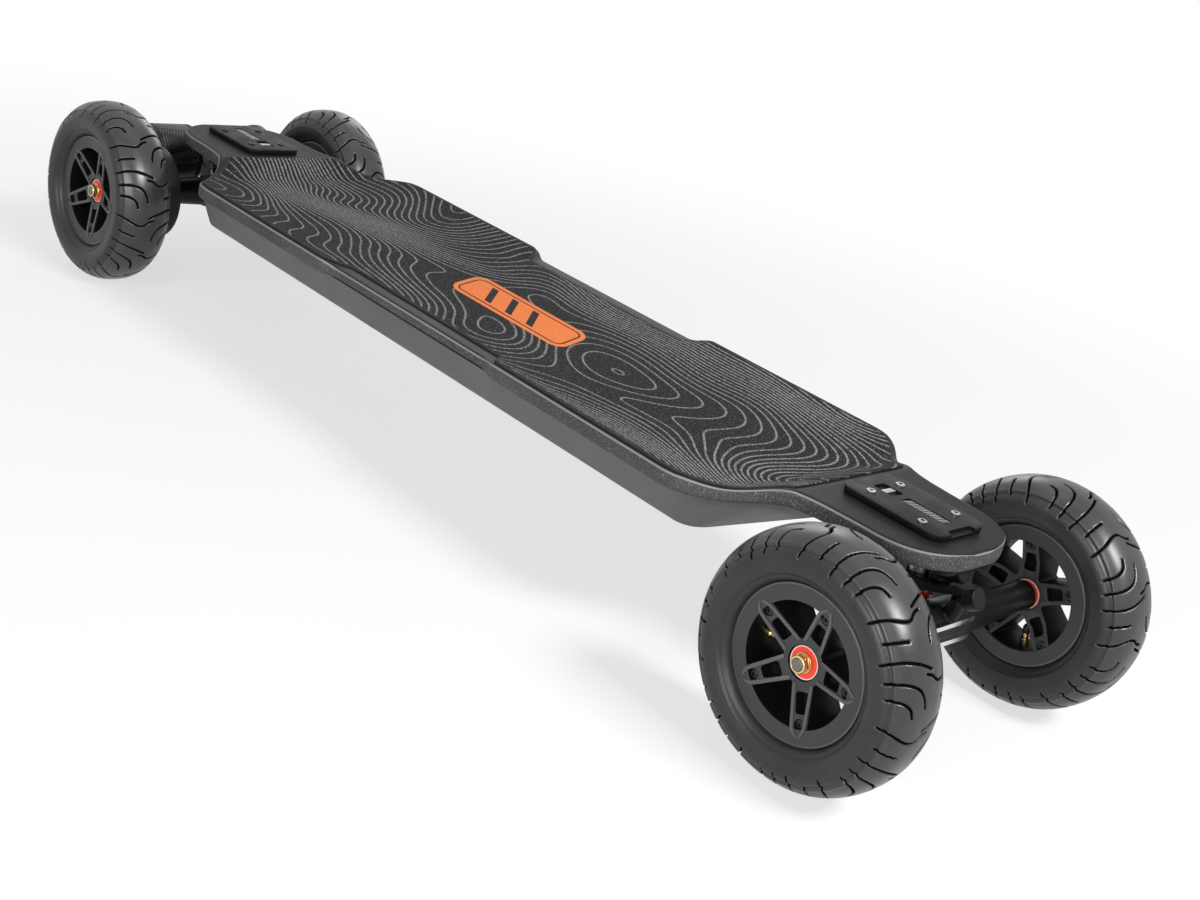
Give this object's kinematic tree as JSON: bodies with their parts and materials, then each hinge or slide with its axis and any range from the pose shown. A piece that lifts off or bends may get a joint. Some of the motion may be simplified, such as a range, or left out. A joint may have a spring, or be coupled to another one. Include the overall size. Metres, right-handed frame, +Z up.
{
  "type": "electric mountainboard",
  "caption": "All-terrain electric longboard with a narrow-necked composite deck, double-kingpin trucks, pneumatic tyres on spoked rims and belt-driven rear wheels",
  "frame": {"origin": "on the ground, midway between the four wheels", "axes": "+X to the nose, away from the motors; +Y to the rider's left when facing the nose; +Z up from the ground"},
  "size_m": [1.055, 0.297, 0.165],
  "materials": {
    "composite": "dark carbon-fibre composite, satin",
    "grip": "black gritty foam with pale grey contour lines and an orange badge",
    "battery_wrap": "blue heat-shrink sleeve",
    "controller_case": "black anodised",
    "deck_plate": "black, satin",
    "button": "brushed",
    "truck_metal": "black anodised, machined",
    "steel": "zinc plated",
    "bushing": "red urethane",
    "tyre": "black rubber",
    "inner_tube": "black rubber with a brass valve",
    "rim": "satin black",
    "bearing": "orange-red shield",
    "axle_nut": "gold-coloured plating",
    "motor_can": "black, with a fine diagonal pattern",
    "drive_metal": "black anodised",
    "belt": "black, toothed",
    "belt_cover": "black"
  },
  "bodies": {
    "deck": {"deck_board": "composite", "grip_sheet": "grip", "lower_shell": "composite", "battery_pack": "battery_wrap", "motor_controller": "controller_case", "front_deck_plate": "deck_plate", "rear_deck_plate": "deck_plate", "front_baseplate": "truck_metal", "front_upper_kingpin": "steel", "front_upper_top_bushing": "bushing", "front_upper_bottom_bushing": "bushing", "rear_baseplate": "truck_metal", "rear_upper_kingpin": "steel", "rear_upper_top_bushing": "bushing", "rear_upper_bottom_bushing": "bushing"},
    "power_button": {"power_button": "button"},
    "front_arm": {"front_swing_arm": "truck_metal", "front_lower_kingpin": "steel", "front_lower_top_bushing": "bushing", "front_lower_bottom_bushing": "bushing"},
    "front_hanger": {"front_hanger": "truck_metal", "front_axle": "steel", "front_left_axle_nut": "axle_nut", "front_right_axle_nut": "axle_nut"},
    "front_left_wheel": {"front_left_tyre": "tyre", "front_left_inner_tube": "inner_tube", "front_left_rim": "rim", "front_left_wheel_bearings": "bearing"},
    "front_right_wheel": {"front_right_tyre": "tyre", "front_right_inner_tube": "inner_tube", "front_right_rim": "rim", "front_right_wheel_bearings": "bearing"},
    "rear_arm": {"rear_swing_arm": "truck_metal", "rear_lower_kingpin": "steel", "rear_lower_top_bushing": "bushing", "rear_lower_bottom_bushing": "bushing"},
    "rear_hanger": {"rear_hanger": "truck_metal", "rear_axle": "steel", "rear_left_axle_nut": "axle_nut", "rear_right_axle_nut": "axle_nut", "left_motor": "motor_can", "left_motor_mount": "drive_metal", "left_drive_belt": "belt", "left_belt_cover": "belt_cover", "right_motor": "motor_can", "right_motor_mount": "drive_metal", "right_drive_belt": "belt", "right_belt_cover": "belt_cover"},
    "rear_left_wheel": {"rear_left_tyre": "tyre", "rear_left_inner_tube": "inner_tube", "rear_left_rim": "rim", "rear_left_wheel_bearings": "bearing", "left_wheel_pulley": "drive_metal"},
    "rear_right_wheel": {"rear_right_tyre": "tyre", "rear_right_inner_tube": "inner_tube", "rear_right_rim": "rim", "rear_right_wheel_bearings": "bearing", "right_wheel_pulley": "drive_metal"},
    "left_motor_pulley": {"left_motor_pulley": "steel"},
    "right_motor_pulley": {"right_motor_pulley": "steel"}
  },
  "joints": [
    {"name": "front_upper_pivot", "type": "hinge", "parent": "deck", "child": "front_arm", "pos_m": [0.392, 0, 0.10151], "axis": [0.9384, 0, 0.3455], "range_deg": [-9, 9], "stiffness_Nm_per_rad": 60, "deforming": ["front_upper_top_bushing", "front_upper_bottom_bushing"]},
    {"name": "front_lower_pivot", "type": "hinge", "parent": "front_arm", "child": "front_hanger", "pos_m": [0.4249, 0, 0.0857], "axis": [0.8531, 0, 0.5217], "range_deg": [-9, 9], "stiffness_Nm_per_rad": 60, "deforming": ["front_lower_top_bushing", "front_lower_bottom_bushing"]},
    {"name": "front_left_wheel_spin", "type": "hinge", "parent": "front_hanger", "child": "front_left_wheel", "pos_m": [0.445, 0, 0.0825], "axis": [0, 1, 0], "continuous": true},
    {"name": "front_right_wheel_spin", "type": "hinge", "parent": "front_hanger", "child": "front_right_wheel", "pos_m": [0.445, 0, 0.0825], "axis": [0, 1, 0], "continuous": true},
    {"name": "rear_upper_pivot", "type": "hinge", "parent": "deck", "child": "rear_arm", "pos_m": [-0.392, 0, 0.10151], "axis": [0.9384, 0, -0.3455], "range_deg": [-9, 9], "stiffness_Nm_per_rad": 60, "deforming": ["rear_upper_top_bushing", "rear_upper_bottom_bushing"]},
    {"name": "rear_lower_pivot", "type": "hinge", "parent": "rear_arm", "child": "rear_hanger", "pos_m": [-0.4249, 0, 0.0857], "axis": [0.8531, 0, -0.5217], "range_deg": [-9, 9], "stiffness_Nm_per_rad": 60, "deforming": ["rear_lower_top_bushing", "rear_lower_bottom_bushing"]},
    {"name": "rear_left_wheel_spin", "type": "hinge", "parent": "rear_hanger", "child": "rear_left_wheel", "pos_m": [-0.445, 0, 0.0825], "axis": [0, 1, 0], "continuous": true},
    {"name": "rear_right_wheel_spin", "type": "hinge", "parent": "rear_hanger", "child": "rear_right_wheel", "pos_m": [-0.445, 0, 0.0825], "axis": [0, 1, 0], "continuous": true},
    {"name": "left_motor_spin", "type": "hinge", "parent": "rear_hanger", "child": "left_motor_pulley", "pos_m": [-0.496, 0, 0.103], "axis": [0, 1, 0], "continuous": true},
    {"name": "right_motor_spin", "type": "hinge", "parent": "rear_hanger", "child": "right_motor_pulley", "pos_m": [-0.496, 0, 0.103], "axis": [0, 1, 0], "continuous": true},
    {"name": "power_button_press", "type": "slide", "parent": "deck", "child": "power_button", "axis": [0, -0.9635, 0.2676], "range_m": [0, 0.0012], "stiffness_N_per_m": 1500, "springref_m": -0.0005}
  ],
  "couplings": [
    {"joint": "left_motor_spin", "follows": "rear_left_wheel_spin", "ratio": 2.9333},
    {"joint": "right_motor_spin", "follows": "rear_right_wheel_spin", "ratio": 2.9333}
  ]
}
